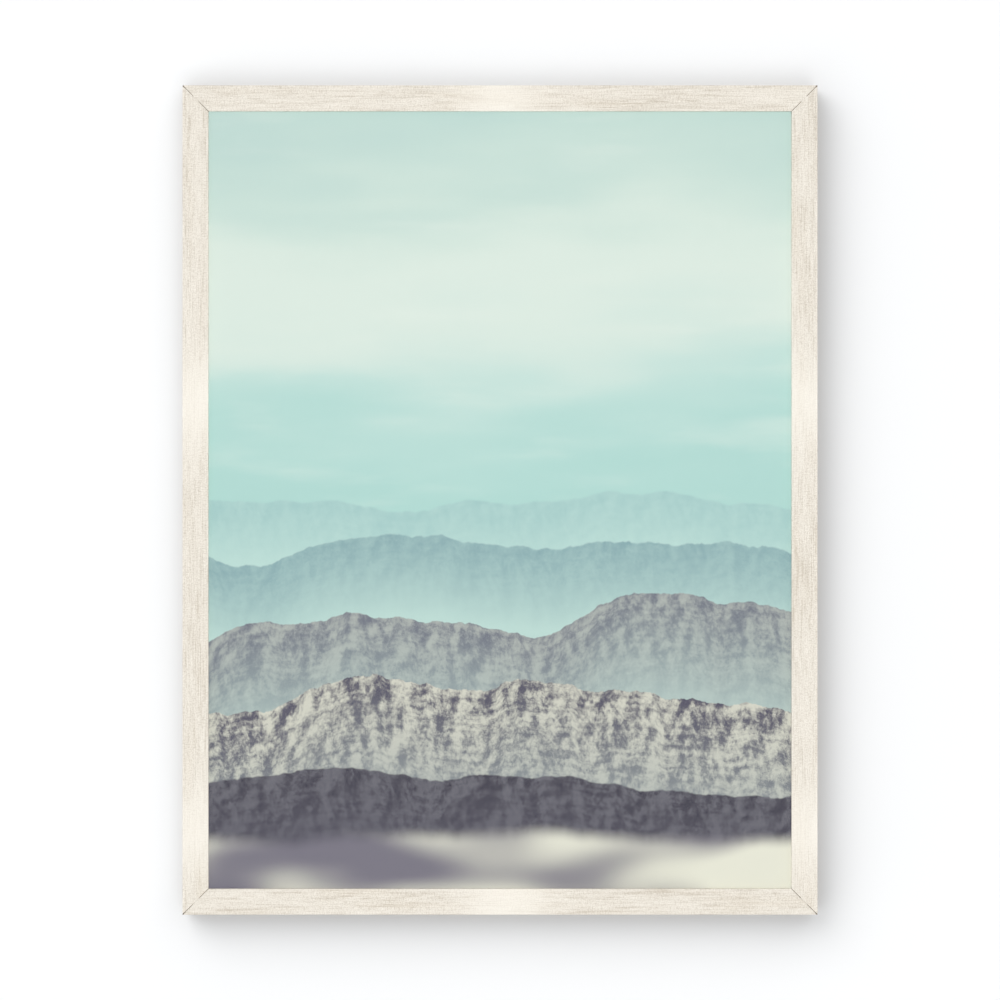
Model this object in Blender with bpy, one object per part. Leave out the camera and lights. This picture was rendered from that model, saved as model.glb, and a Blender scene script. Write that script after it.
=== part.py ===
"""A framed picture that hangs on a wall: a mitred wooden frame round glass, a print and a
backing board, with framer's tabs, a saw-tooth hanger and two wall bumpers.

Metres, +Z up, the picture faces -Y. The origin is the point of the wall where the nail of the
hanger stands: the wall is the plane y = 0, and the nail carries the hanger's middle notch.
"""

from math import cos, pi, radians, sin, sqrt

import bmesh
import bpy
from mathutils import Matrix, Vector

# Driving dimensions of the frame.
PICTURE_WIDTH = 0.450
PICTURE_HEIGHT = 0.600
RAIL_FACE = 0.020
RAIL_DEPTH = 0.025
LIP_WIDTH = 0.006
LIP_THICKNESS = 0.0035
MITRE_GAP = 0.0003
GAP = 0.0003

# The sheets that the rebate holds, from the front to the back.
SHEET_CLEARANCE = 0.001
GLASS_THICKNESS = 0.002
PRINT_THICKNESS = 0.0005
BOARD_THICKNESS = 0.003

# Where the frame hangs: the bumpers hold it off the wall, and the notch is below its top edge.
BUMPER_THICKNESS = 0.003
BUMPER_RADIUS = 0.005
BUMPER_SPACING = 0.420
NOTCH_BELOW_TOP = 0.008

WIDTH = PICTURE_WIDTH + 2 * RAIL_FACE
HEIGHT = PICTURE_HEIGHT + 2 * RAIL_FACE
REBATE_WALL = RAIL_FACE - LIP_WIDTH
BACK_Y = -BUMPER_THICKNESS - GAP
FRONT_Y = BACK_Y - RAIL_DEPTH
LEDGE_Y = FRONT_Y + LIP_THICKNESS
CENTRE_Z = NOTCH_BELOW_TOP - HEIGHT / 2
RAIL_BACK_MIDDLE = REBATE_WALL / 2

# Each rail: half the length along it, half the size across the frame, and its turn about Y.
RAILS = {
    "top": (WIDTH / 2, HEIGHT / 2, 0.0),
    "right": (HEIGHT / 2, WIDTH / 2, 90.0),
    "bottom": (WIDTH / 2, HEIGHT / 2, 180.0),
    "left": (HEIGHT / 2, WIDTH / 2, 270.0),
}
# Where the framer's tabs stand along each rail, from its middle.
TAB_PLACES = {
    "top": (-0.130, 0.130),
    "right": (-0.200, 0.0, 0.200),
    "bottom": (-0.130, 0.130),
    "left": (-0.200, 0.0, 0.200),
}


def clear_scene():
    for old in list(bpy.data.objects):
        bpy.data.objects.remove(old)


def material(name, colour, roughness, metallic=0.0, transmission=0.0):
    made = bpy.data.materials.new(name)
    made.use_nodes = True
    shader = made.node_tree.nodes["Principled BSDF"]
    shader.inputs["Base Color"].default_value = (*colour, 1.0)
    shader.inputs["Roughness"].default_value = roughness
    shader.inputs["Metallic"].default_value = metallic
    shader.inputs["Transmission Weight"].default_value = transmission
    return made


def add(name, bm, finish=None, turned_piece=False):
    """Makes an object of the bmesh, its faces pointing out, and links it to the scene."""
    bmesh.ops.recalc_face_normals(bm, faces=bm.faces)
    mesh = bpy.data.meshes.new(name)
    bm.to_mesh(mesh)
    bm.free()
    if turned_piece:
        mesh.shade_smooth()
        mesh.set_sharp_from_angle(angle=radians(30))
    made = bpy.data.objects.new(name, mesh)
    bpy.context.scene.collection.objects.link(made)
    if finish is not None:
        mesh.materials.append(finish)
    return made


def add_cutter(name, bm):
    made = add(name, bm)
    made.hide_render = True
    made.display_type = "WIRE"
    return made


def cut(target, cutter):
    boolean = target.modifiers.new(cutter.name, "BOOLEAN")
    boolean.operation = "DIFFERENCE"
    boolean.solver = "EXACT"
    boolean.object = cutter


def bevel_edges(target, width, segments=1):
    bevel = target.modifiers.new("eased edges", "BEVEL")
    bevel.width = width
    bevel.segments = segments
    bevel.limit_method = "ANGLE"


def box(low, high):
    bm = bmesh.new()
    bmesh.ops.create_cube(bm, size=1.0)
    low, high = Vector(low), Vector(high)
    bmesh.ops.scale(bm, vec=high - low, verts=bm.verts)
    bmesh.ops.translate(bm, vec=(low + high) / 2, verts=bm.verts)
    return bm


def extruded(outline, move):
    """A closed solid: the outline's points joined as one face and extruded by move."""
    bm = bmesh.new()
    face = bm.faces.new([bm.verts.new(point) for point in outline])
    swept = bmesh.ops.extrude_face_region(bm, geom=[face])["geom"]
    moved = [item for item in swept if isinstance(item, bmesh.types.BMVert)]
    bmesh.ops.translate(bm, vec=Vector(move), verts=moved)
    return bm


def turned(profile, steps):
    """A closed solid of revolution about Y: profile is (radius, y) from the axis to the axis."""
    bm = bmesh.new()
    points = [bm.verts.new((radius, y, 0.0)) for radius, y in profile]
    edges = [bm.edges.new(pair) for pair in zip(points, points[1:])]
    bmesh.ops.spin(
        bm, geom=points + edges, cent=(0, 0, 0), axis=(0, 1, 0), angle=2 * pi, steps=steps,
        use_merge=True,
    )
    bmesh.ops.remove_doubles(bm, verts=bm.verts, dist=1e-7)
    return bm


def arc(centre_x, centre_y, radius, start, end, steps):
    """Points of a round stretch, from the start angle to the end angle in degrees."""
    angles = [radians(start + (end - start) * i / steps) for i in range(steps + 1)]
    return [(centre_x + radius * cos(a), centre_y + radius * sin(a)) for a in angles]


def placed(made, parent, location=(0, 0, 0), turn=0.0):
    """Parents the object and turns it about Y, in degrees."""
    made.parent = parent
    made.location = location
    made.rotation_euler = (0.0, radians(turn), 0.0)
    return made


# ---- The four rails: one moulding, mitred at both ends -----------------------------------

OUTER_ARRIS = 0.0010
INNER_ARRIS = 0.0006
BACK_ARRIS = 0.0008
ARRIS_STEPS = 4


def rail_section():
    """The moulding's section as (distance in from the outer edge, y), outer front corner first."""
    r, i, b = OUTER_ARRIS, INNER_ARRIS, BACK_ARRIS
    return [
        *arc(r, FRONT_Y + r, r, 180, 270, ARRIS_STEPS),
        *arc(RAIL_FACE - i, FRONT_Y + i, i, 270, 360, ARRIS_STEPS),
        (RAIL_FACE, LEDGE_Y),
        (REBATE_WALL, LEDGE_Y),
        (REBATE_WALL, BACK_Y),
        *arc(b, BACK_Y - b, b, 90, 180, ARRIS_STEPS),
    ]


def rail(half_length, half_across):
    """A rail that lies along X above the frame's centre, its ends cut at 45 degrees."""
    recess = MITRE_GAP / 2 * sqrt(2)
    bm = bmesh.new()
    ends = [
        bm.faces.new(
            [
                bm.verts.new((side * (half_length - inward - recess), y, half_across - inward))
                for inward, y in rail_section()
            ]
        )
        for side in (-1, 1)
    ]
    bmesh.ops.bridge_loops(bm, edges=[edge for end in ends for edge in end.edges])
    return bm


def add_rails(centre, finish):
    return {
        side: placed(
            add(f"rail_{side}", rail(half_length, half_across), finish), centre, turn=turn
        )
        for side, (half_length, half_across, turn) in RAILS.items()
    }


# ---- The sheets in the rebate: glass, print and backing board ----------------------------


def add_sheet(name, front_y, thickness, edge, finish):
    half_x = PICTURE_WIDTH / 2 + LIP_WIDTH - SHEET_CLEARANCE
    half_z = PICTURE_HEIGHT / 2 + LIP_WIDTH - SHEET_CLEARANCE
    sheet = add(
        name,
        box(
            (-half_x, front_y, CENTRE_Z - half_z),
            (half_x, front_y + thickness, CENTRE_Z + half_z),
        ),
        finish,
    )
    if edge > 0:
        bevel_edges(sheet, edge)
    return front_y + thickness


def add_sheets(glass, paper, board):
    """The stack from the ledge backwards. Returns the y of the board's back face."""
    back = add_sheet("glass", LEDGE_Y + GAP, GLASS_THICKNESS, 0.0003, glass)
    back = add_sheet("print_sheet", back + GAP, PRINT_THICKNESS, 0.0, paper)
    return add_sheet("backing_board", back + GAP, BOARD_THICKNESS, 0.0004, board)


# ---- The framer's tabs: steel strips pressed into the rebate wall, bent onto the board ----

TAB_HALF_WIDTH = 0.0038
TAB_POINT_HALF_WIDTH = 0.0008
TAB_THICKNESS = 0.0006
TAB_IN_WOOD = 0.0045
TAB_SHOULDER = 0.0020
TAB_REACH = 0.0150
TAB_ABOVE_BOARD = 0.0016
TAB_END_STEPS = 5


def tab(board_y):
    """One tab: it leaves the top rail's rebate wall at z = 0 and reaches down over the board."""
    stations = [(TAB_IN_WOOD, TAB_POINT_HALF_WIDTH), (TAB_SHOULDER, TAB_HALF_WIDTH)]
    round_centre = TAB_HALF_WIDTH - TAB_REACH
    for angle in (90.0 * i / TAB_END_STEPS for i in range(TAB_END_STEPS)):
        reach = round_centre - TAB_HALF_WIDTH * sin(radians(angle))
        stations.append((reach, TAB_HALF_WIDTH * cos(radians(angle))))
    stations.insert(2, (0.0, TAB_HALF_WIDTH))
    stations.insert(3, (-TAB_REACH / 3, TAB_HALF_WIDTH))
    raised, pressed = board_y + TAB_ABOVE_BOARD, board_y + GAP

    def height(z):
        """Straight out of the wood, then down onto the board at its far end."""
        share = min(max(-z / TAB_REACH, 0.0), 1.0)
        return raised + (pressed - raised) * share

    bm = bmesh.new()
    rows = [
        [bm.verts.new((side * half, height(z), z)) for side in (-1, 1)] for z, half in stations
    ]
    for upper, lower in zip(rows, rows[1:]):
        bm.faces.new((upper[0], upper[1], lower[1], lower[0]))
    swept = bmesh.ops.extrude_face_region(bm, geom=bm.faces[:])["geom"]
    moved = [item for item in swept if isinstance(item, bmesh.types.BMVert)]
    bmesh.ops.translate(bm, vec=(0, TAB_THICKNESS, 0), verts=moved)
    return bm


def tab_slot(board_y):
    """The cut in the rebate wall that takes a tab, with the usual gap all round."""
    raised = board_y + TAB_ABOVE_BOARD
    return box(
        (-TAB_HALF_WIDTH - GAP, raised - GAP, -LIP_WIDTH / 2),
        (TAB_HALF_WIDTH + GAP, raised + TAB_THICKNESS + GAP, TAB_IN_WOOD + GAP),
    )


def add_tabs(centre, rails, board_y, steel):
    for side, places in TAB_PLACES.items():
        _, half_across, turn = RAILS[side]
        wall = half_across - REBATE_WALL
        for number, along in enumerate(places, 1):
            place = Matrix.Rotation(radians(turn), 3, "Y") @ Vector((along, 0, wall))
            name = f"tab_{side}_{number}"
            placed(add(name, tab(board_y), steel), centre, place, turn)
            cutter = add_cutter(f"{name}_slot", tab_slot(board_y))
            cut(rails[side], placed(cutter, centre, place, turn))


# ---- The V-nails: steel chevrons pressed into the back of each mitre ----------------------

V_NAIL_POINT = 0.0030
V_NAIL_TAIL = -0.0020
V_NAIL_HALF_SPAN = 0.0042
V_NAIL_THICKNESS = 0.0008
V_NAIL_DEPTH = 0.0070
V_NAIL_BELOW_FACE = 0.0002
V_NAIL_CORNERS = {
    "top_right": (1, 1, 45.0),
    "bottom_right": (1, -1, 135.0),
    "bottom_left": (-1, -1, 225.0),
    "top_left": (-1, 1, 315.0),
}


def chevron(grown, front_y, back_y):
    """A V that points up at +Z, as thick as the nail and grown by that much on every side."""
    slope = (V_NAIL_POINT - V_NAIL_TAIL) / V_NAIL_HALF_SPAN
    half = V_NAIL_HALF_SPAN + grown
    lift = (V_NAIL_THICKNESS / 2 + grown) * sqrt(1 + slope * slope)
    tail = V_NAIL_POINT - slope * half
    outline = [
        (-half, front_y, tail + lift),
        (0.0, front_y, V_NAIL_POINT + lift),
        (half, front_y, tail + lift),
        (half, front_y, tail - lift),
        (0.0, front_y, V_NAIL_POINT - lift),
        (-half, front_y, tail - lift),
    ]
    return extruded(outline, (0.0, back_y - front_y, 0.0))


def add_v_nails(centre, rails, steel):
    deep = BACK_Y - V_NAIL_DEPTH
    for corner, (x_side, z_side, turn) in V_NAIL_CORNERS.items():
        place = (
            x_side * (WIDTH / 2 - RAIL_BACK_MIDDLE),
            0.0,
            z_side * (HEIGHT / 2 - RAIL_BACK_MIDDLE),
        )
        nail = chevron(0.0, deep, BACK_Y - V_NAIL_BELOW_FACE)
        placed(add(f"v_nail_{corner}", nail, steel), centre, place, turn)
        pocket = add_cutter(
            f"v_nail_{corner}_pocket", chevron(GAP, deep - GAP, BACK_Y + RAIL_DEPTH)
        )
        placed(pocket, centre, place, turn)
        for side in corner.split("_"):
            cut(rails[side], pocket)


# ---- The saw-tooth hanger and its two screws on the back of the top rail ------------------

HANGER_HALF_LENGTH = 0.024
HANGER_TOP = 0.0055
HANGER_BOTTOM = -0.0035
HANGER_THICKNESS = 0.0009
HANGER_CORNER = 0.0015
HANGER_STANDOFF = 0.0012
TOOTH_PITCH = 0.003
TOOTH_DEPTH = 0.0015
TOOTH_COUNT_EACH_SIDE = 4
SCREW_SPACING = 0.041
SCREW_HOLE_RADIUS = 0.0016
SCREW_SHANK_RADIUS = 0.0012
SCREW_SHANK_LENGTH = 0.0100
SCREW_TIP_LENGTH = 0.0020
SCREW_HEAD_RADIUS = 0.0027
SCREW_HEAD_HEIGHT = 0.0012
SCREW_Z = (HANGER_TOP + HANGER_BOTTOM) / 2
CROSS_HALF_LENGTH = 0.0013
CROSS_HALF_WIDTH = 0.00032
CROSS_DEPTH = 0.0006
ROUND_STEPS = 24


def hanger_stations():
    """(x, lower edge, upper edge, lift off the wood) across the strip's right half."""
    toothed_end = (TOOTH_COUNT_EACH_SIDE + 0.5) * TOOTH_PITCH
    joggle_end = toothed_end + 2 * HANGER_STANDOFF
    for tooth in range(TOOTH_COUNT_EACH_SIDE + 1):
        x = tooth * TOOTH_PITCH
        yield x, 0.0, HANGER_TOP, HANGER_STANDOFF
        yield x + TOOTH_PITCH / 2, -TOOTH_DEPTH, HANGER_TOP, HANGER_STANDOFF
    yield joggle_end, HANGER_BOTTOM + HANGER_CORNER, HANGER_TOP, 0.0
    yield joggle_end + HANGER_CORNER / 2, HANGER_BOTTOM, HANGER_TOP, 0.0
    yield HANGER_HALF_LENGTH - HANGER_CORNER, HANGER_BOTTOM, HANGER_TOP, 0.0
    yield HANGER_HALF_LENGTH, HANGER_BOTTOM + HANGER_CORNER, HANGER_TOP - HANGER_CORNER, 0.0


def hanger_plate():
    right = list(hanger_stations())
    left = [(-x, lower, upper, lift) for x, lower, upper, lift in right[:0:-1]]
    bm = bmesh.new()
    rows = [
        [bm.verts.new((x, BACK_Y + GAP + lift, z)) for z in (lower, upper)]
        for x, lower, upper, lift in left + right
    ]
    for one, other in zip(rows, rows[1:]):
        bm.faces.new((one[0], one[1], other[1], other[0]))
    swept = bmesh.ops.extrude_face_region(bm, geom=bm.faces[:])["geom"]
    moved = [item for item in swept if isinstance(item, bmesh.types.BMVert)]
    bmesh.ops.translate(bm, vec=(0, HANGER_THICKNESS, 0), verts=moved)
    return bm


def screw():
    """A domed screw along Y, the underside of its head at y = 0 and its shank towards -Y."""
    radius = SCREW_SHANK_RADIUS
    profile = [
        (0.0, -SCREW_SHANK_LENGTH),
        (radius, SCREW_TIP_LENGTH - SCREW_SHANK_LENGTH),
        (radius, 0.0),
        (SCREW_HEAD_RADIUS, 0.0),
    ]
    dome = arc(0.0, 0.0, 1.0, 0, 90, 6)[1:]
    profile += [(SCREW_HEAD_RADIUS * x, SCREW_HEAD_HEIGHT * y) for x, y in dome[:-1]]
    profile.append((0.0, SCREW_HEAD_HEIGHT))
    return turned(profile, ROUND_STEPS)


def cross_recess():
    long, thin = CROSS_HALF_LENGTH, CROSS_HALF_WIDTH
    corners = [(thin, long), (thin, thin), (long, thin), (long, -thin), (thin, -thin), (thin, -long)]
    outline = corners + [(-x, -z) for x, z in corners]
    floor_y = SCREW_HEAD_HEIGHT - CROSS_DEPTH
    return extruded([(x, floor_y, z) for x, z in outline], (0, SCREW_HEAD_HEIGHT, 0))


def hole(radius, length):
    """A round cutter along Y that runs both ways from its middle."""
    half = length / 2
    return turned([(0.0, -half), (radius, -half), (radius, half), (0.0, half)], ROUND_STEPS)


def add_hanger(top_rail, steel):
    plate = add("hanger_plate", hanger_plate(), steel)
    seat_y = BACK_Y + 2 * GAP + HANGER_THICKNESS
    for side, sign in (("left", -1), ("right", 1)):
        place = (sign * SCREW_SPACING / 2, seat_y, SCREW_Z)
        name = f"hanger_screw_{side}"
        made = placed(add(name, screw(), steel, turned_piece=True), None, place)
        cut(made, placed(add_cutter(f"{name}_cross", cross_recess()), None, place))
        cut(plate, placed(add_cutter(f"{name}_hole", hole(SCREW_HOLE_RADIUS, 0.006)), None, place))
        bore = hole(SCREW_SHANK_RADIUS + GAP, 2 * (SCREW_SHANK_LENGTH + GAP))
        cut(top_rail, placed(add_cutter(f"{name}_bore", bore), None, place))


# ---- The bumpers at the foot, which rest on the wall ---------------------------------------

BUMPER_EDGE = 0.0006


def add_bumpers(rubber):
    low_z = CENTRE_Z - HEIGHT / 2 + RAIL_BACK_MIDDLE
    back = -BUMPER_EDGE
    rounded = arc(BUMPER_RADIUS - BUMPER_EDGE, back, BUMPER_EDGE, 0, 90, 4)
    profile = [(0.0, -BUMPER_THICKNESS), (BUMPER_RADIUS, -BUMPER_THICKNESS), *rounded, (0.0, 0.0)]
    for side, sign in (("left", -1), ("right", 1)):
        bumper = add(f"bumper_{side}", turned(profile, 2 * ROUND_STEPS), rubber, turned_piece=True)
        placed(bumper, None, (sign * BUMPER_SPACING / 2, 0.0, low_z))


def build():
    clear_scene()
    wood = material("whitewashed wood", (0.84, 0.79, 0.70), 0.6)
    glass = material("clear glass", (0.95, 0.98, 0.97), 0.02, transmission=1.0)
    paper = material("print paper", (0.60, 0.69, 0.67), 0.5)
    board = material("backing board", (0.36, 0.25, 0.16), 0.8)
    dark_steel = material("dark steel", (0.10, 0.10, 0.11), 0.4, metallic=0.8)
    bright_steel = material("zinc plated steel", (0.62, 0.62, 0.60), 0.35, metallic=1.0)
    rubber = material("bumper rubber", (0.50, 0.50, 0.48), 0.7)

    centre = bpy.data.objects.new("frame_centre", None)
    centre.location = (0.0, 0.0, CENTRE_Z)
    bpy.context.scene.collection.objects.link(centre)

    rails = add_rails(centre, wood)
    board_y = add_sheets(glass, paper, board)
    add_tabs(centre, rails, board_y, dark_steel)
    add_v_nails(centre, rails, bright_steel)
    add_hanger(rails["top"], bright_steel)
    add_bumpers(rubber)


build()
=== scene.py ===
"""A framed print on a wall: a whitewashed wooden moulding round glass, a print and a board.

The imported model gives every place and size, in metres: the picture faces -Y, +Z is up, and the
wall is the plane y = 0. The sections follow the frame as it is put together.
"""

from math import cos, exp, pi, radians, sin, sqrt

import bmesh
import bpy
from mathutils import Matrix, Vector, noise


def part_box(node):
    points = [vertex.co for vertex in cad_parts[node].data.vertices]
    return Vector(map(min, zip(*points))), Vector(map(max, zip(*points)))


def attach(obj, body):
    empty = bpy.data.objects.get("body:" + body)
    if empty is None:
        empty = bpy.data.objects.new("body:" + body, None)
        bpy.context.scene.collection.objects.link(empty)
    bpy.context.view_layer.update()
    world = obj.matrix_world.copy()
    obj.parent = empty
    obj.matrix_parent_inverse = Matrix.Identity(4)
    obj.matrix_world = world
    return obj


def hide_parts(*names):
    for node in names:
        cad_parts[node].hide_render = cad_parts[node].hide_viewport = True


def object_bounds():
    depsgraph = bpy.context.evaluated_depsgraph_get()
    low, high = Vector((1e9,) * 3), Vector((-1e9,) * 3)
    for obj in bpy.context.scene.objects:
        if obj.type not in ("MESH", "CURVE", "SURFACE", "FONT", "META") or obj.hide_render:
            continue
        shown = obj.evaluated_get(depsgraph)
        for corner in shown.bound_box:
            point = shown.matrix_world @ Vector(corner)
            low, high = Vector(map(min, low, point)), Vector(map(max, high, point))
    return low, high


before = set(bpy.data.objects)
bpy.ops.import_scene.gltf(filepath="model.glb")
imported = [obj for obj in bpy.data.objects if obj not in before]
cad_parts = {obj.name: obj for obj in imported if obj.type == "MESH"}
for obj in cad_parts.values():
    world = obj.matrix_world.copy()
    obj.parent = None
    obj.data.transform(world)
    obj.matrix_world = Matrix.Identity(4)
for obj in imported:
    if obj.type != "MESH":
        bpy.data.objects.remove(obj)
cad_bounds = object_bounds()


# ==== The camera, the wall, the floor and the light =============================================
# The picture hangs on a white painted wall, seen straight on from about three metres. Broad lamps
# light the wall, most from the upper left, so that the frame's soft shadow falls right and down. A
# small lamp at the camera lights the picture, and others light only its sides and its back.

LENS_MM = 135.0
SENSOR_MM = 36.0
SHOWN_WIDTH = 0.7714
ROOM_LIGHT, ROOM_SEEN = 0.2, 0.8
WALL_SIZE = 5.0
WALL_BEHIND = 0.0002
FLOOR_BELOW = 1.45
FRONT_WATTS, FRONT_RADIUS = 305.0, 0.08
# Each lamp: its strength, its breadth in degrees, the way its light goes, whether it is the wall's.
# The side and back lamps light only what they reach straight away, so no glow spills on the wall.
LAMPS = {
    "wall wash": (2.51, 169, (0.91, 1.0, -0.68), True),
    "wall rim": (0.25, 28, (-0.22, 1.0, 0.51), True),
    "wall key": (0.97, 46, (0.75, 1.0, -0.81), True),
    "side left": (1.45, 16, (1.0, 0.03, -0.1), False),
    "side right": (1.55, 16, (-1.0, 0.03, -0.05), False),
    "side above": (1.2, 16, (0.1, 0.03, -1.0), False),
    "side below": (1.4, 16, (-0.1, 0.03, 1.0), False),
    "back left": (2.1, 75, (0.45, -1.0, -0.35), False),
    "back right": (0.9, 90, (-0.5, -1.0, 0.15), False),
}

centre = (cad_bounds[0] + cad_bounds[1]) / 2
front_y = cad_bounds[0].y


def srgb(red, green, blue):
    """The linear colour of a shade given as it shows on a screen, 0 to 255."""
    parts = [channel / 255 for channel in (red, green, blue)]
    return (*[p / 12.92 if p <= 0.04045 else ((p + 0.055) / 1.055) ** 2.4 for p in parts], 1.0)


def add_node(tree, kind, settings=(), **inputs):
    """A shader node; an input is named as its socket, with _ for a space, and may be a socket."""
    node = tree.nodes.new("ShaderNode" + kind)
    for name, value in dict(settings).items():
        setattr(node, name, value)
    for name, value in inputs.items():
        socket = node.inputs[name.replace("_", " ")]
        if isinstance(value, bpy.types.NodeSocket):
            tree.links.new(value, socket)
        else:
            socket.default_value = value
    return node


def one_sided_paint(name, shade):
    """Matt paint that is there from the front and isn't from behind."""
    paint = bpy.data.materials.new(name)
    paint.use_nodes = True
    tree = paint.node_tree
    tree.nodes.remove(tree.nodes["Principled BSDF"])
    matt = add_node(tree, "BsdfDiffuse", Color=shade)
    mix = add_node(tree, "MixShader", Fac=add_node(tree, "NewGeometry").outputs["Backfacing"])
    tree.links.new(matt.outputs[0], mix.inputs[1])
    tree.links.new(add_node(tree, "BsdfTransparent").outputs[0], mix.inputs[2])
    tree.links.new(mix.outputs[0], tree.nodes["Material Output"].inputs["Surface"])
    return paint


def add_stage_plane(name, turn, place, paint):
    """A square of wall or floor that shades nothing and sends no light on."""
    bm = bmesh.new()
    bmesh.ops.create_grid(bm, x_segments=1, y_segments=1, size=WALL_SIZE / 2)
    bmesh.ops.transform(bm, matrix=Matrix.Translation(place) @ turn, verts=bm.verts)
    mesh = bpy.data.meshes.new(name)
    bm.to_mesh(mesh)
    bm.free()
    mesh.materials.append(paint)
    plane = bpy.data.objects.new(name, mesh)
    bpy.context.scene.collection.objects.link(plane)
    plane.visible_shadow = False
    plane.visible_diffuse = False
    return plane


wall = add_stage_plane(
    "wall",
    Matrix.Rotation(radians(90), 4, "X"),
    Vector((0, WALL_BEHIND, centre.z)),
    one_sided_paint("wall paint", srgb(245, 246, 247)),
)
floor = add_stage_plane(
    "floor",
    Matrix.Identity(4),
    Vector((0, -WALL_SIZE / 4, centre.z - FLOOR_BELOW)),
    one_sided_paint("floor paint", srgb(226, 225, 222)),
)

room = bpy.data.worlds.new("white room")
room.use_nodes = True
room.node_tree.nodes["Background"].inputs["Color"].default_value = (1.0, 1.0, 1.0, 1.0)
rays = add_node(room.node_tree, "LightPath").outputs
seen = add_node(room.node_tree, "Math", {"operation": "MAXIMUM"})
room.node_tree.links.new(rays["Is Camera Ray"], seen.inputs[0])
room.node_tree.links.new(rays["Is Glossy Ray"], seen.inputs[1])
glow = add_node(
    room.node_tree, "MapRange", Value=seen.outputs[0], To_Min=ROOM_LIGHT, To_Max=ROOM_SEEN
)
room.node_tree.links.new(glow.outputs[0], room.node_tree.nodes["Background"].inputs["Strength"])
bpy.context.scene.world = room


def lit_by(name, state):
    """A list of what a lamp lights: the wall and floor alone, or all but them."""
    lit = bpy.data.collections.new(name)
    for plane in (wall, floor):
        lit.objects.link(plane)
    for member in lit.collection_objects:
        member.light_linking.link_state = state
    return lit


wall_alone, all_but_wall = lit_by("lit by wall lamps", "INCLUDE"), lit_by("lit by others", "EXCLUDE")
for name, (strength, breadth, ray, for_wall) in LAMPS.items():
    lamp = bpy.data.lights.new(name, "SUN")
    lamp.energy = strength
    lamp.angle = radians(breadth)
    lamp_object = bpy.data.objects.new(name, lamp)
    lamp_object.rotation_euler = Vector(ray).to_track_quat("-Z", "Y").to_euler()
    lamp_object.light_linking.receiver_collection = wall_alone if for_wall else all_but_wall
    lamp_object.visible_glossy = lamp_object.visible_transmission = name.startswith("back")
    if name.startswith(("side", "back")):
        lamp.cycles.max_bounces = 0
    bpy.context.scene.collection.objects.link(lamp_object)

camera = bpy.data.cameras.new("camera")
camera.lens = LENS_MM
camera.sensor_width = SENSOR_MM
camera_object = bpy.data.objects.new("camera", camera)
camera_object.location = (centre.x, front_y - SHOWN_WIDTH * LENS_MM / SENSOR_MM, centre.z)
camera_object.rotation_euler = (radians(90), 0, 0)
bpy.context.scene.collection.objects.link(camera_object)
front_lamp = bpy.data.lights.new("picture front", "POINT")
front_lamp.energy = FRONT_WATTS
front_lamp.shadow_soft_size = FRONT_RADIUS
front_lamp_object = bpy.data.objects.new("picture front", front_lamp)
front_lamp_object.location = camera_object.location
front_lamp_object.light_linking.receiver_collection = all_but_wall
front_lamp_object.visible_glossy = front_lamp_object.visible_transmission = False
bpy.context.scene.collection.objects.link(front_lamp_object)
bpy.context.scene.camera = camera_object
bpy.context.scene.view_settings.view_transform = "Standard"


# ==== The four rails ============================================================================
# One moulding of pale wood, cut at 45 degrees and glued into a frame. Front and sides carry a thin
# white wash: it fills the pores in some places, and in others it is rubbed off along the grain.
# The back and the rebate are raw wood as the cutter left them.

# How far apart the mesh's points stand on the front, the sides and the raw faces, and lengthways.
GRAIN_PITCH, SIDE_PITCH, RAW_PITCH, ROW_LENGTH = 0.00034, 0.0006, 0.0016, 0.0026
ARRIS, INNER_ARRIS, BACK_ARRIS = 0.0010, 0.0003, 0.0008
ARRIS_STEPS = 5
PORE_DEPTH = 0.00012
# The mitre's groove: its width open and shut, where along the mitre it shuts and opens again, how
# far that wanders and runs out, its wear at the tip, and the painted shade beside it: a dark line
# on the wood that stands in for the shade in the open joint, narrower where the joint is shut.
OPEN_JOINT, TIGHT_JOINT = 0.00027, 0.00002
JOINT_OPENS = (0.0078, 0.0122)
JOINT_WANDER, JOINT_RUN_OUT = 0.0012, 0.001
TIP_WEAR, TIP_LENGTH = 0.00036, 0.0024
JOINT_SHADE_WIDTH, JOINT_SHADE_NARROWS = 0.00011, 0.6
# How far apart along a rail the wash lies thick, for how long, and its share of a pore's depth.
WASH_SPACING, WASH_HALF_LENGTH, WASH_FILLS = 0.331, 0.034, 0.7
SHEET_ROOM, LIP_ROOM = 0.001, 0.0003
# The rail's square map holds it in this many rows, each with a margin at its ends and its sides.
BAKE_ROWS, END_MARGIN, SIDE_MARGIN = 3, 0.002, 0.01
SHARP_ANGLE = 40
# Places that differ by less than this are taken as one.
NEAR = 1e-5

rail_low, rail_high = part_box("rail_top")
half_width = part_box("rail_right")[1].x
half_height = rail_high.z - centre.z
face_width = rail_high.z - rail_low.z
back_y = rail_high.y
rebate_wall = half_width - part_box("print_sheet")[1].x - SHEET_ROOM
ledge_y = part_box("glass")[0].y - LIP_ROOM


def arc(middle, radius, start, turn):
    """Points of a quarter round in the section, from the start angle on, in degrees."""
    angles = [radians(start + turn * i / ARRIS_STEPS) for i in range(ARRIS_STEPS + 1)]
    return [(middle[0] + radius * cos(a), middle[1] + radius * sin(a)) for a in angles]


def moulding_outline():
    """The section as (distance in from the outer edge, y), from the outer back corner round."""
    return [
        (0.0, back_y - BACK_ARRIS),
        *arc((ARRIS, front_y + ARRIS), ARRIS, 180, 90),
        *arc((face_width - INNER_ARRIS, front_y + INNER_ARRIS), INNER_ARRIS, 270, 90),
        (face_width, ledge_y),
        (rebate_wall, ledge_y),
        (rebate_wall, back_y),
        *arc((BACK_ARRIS, back_y - BACK_ARRIS), BACK_ARRIS, 90, 90)[:-1],
    ]


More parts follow.
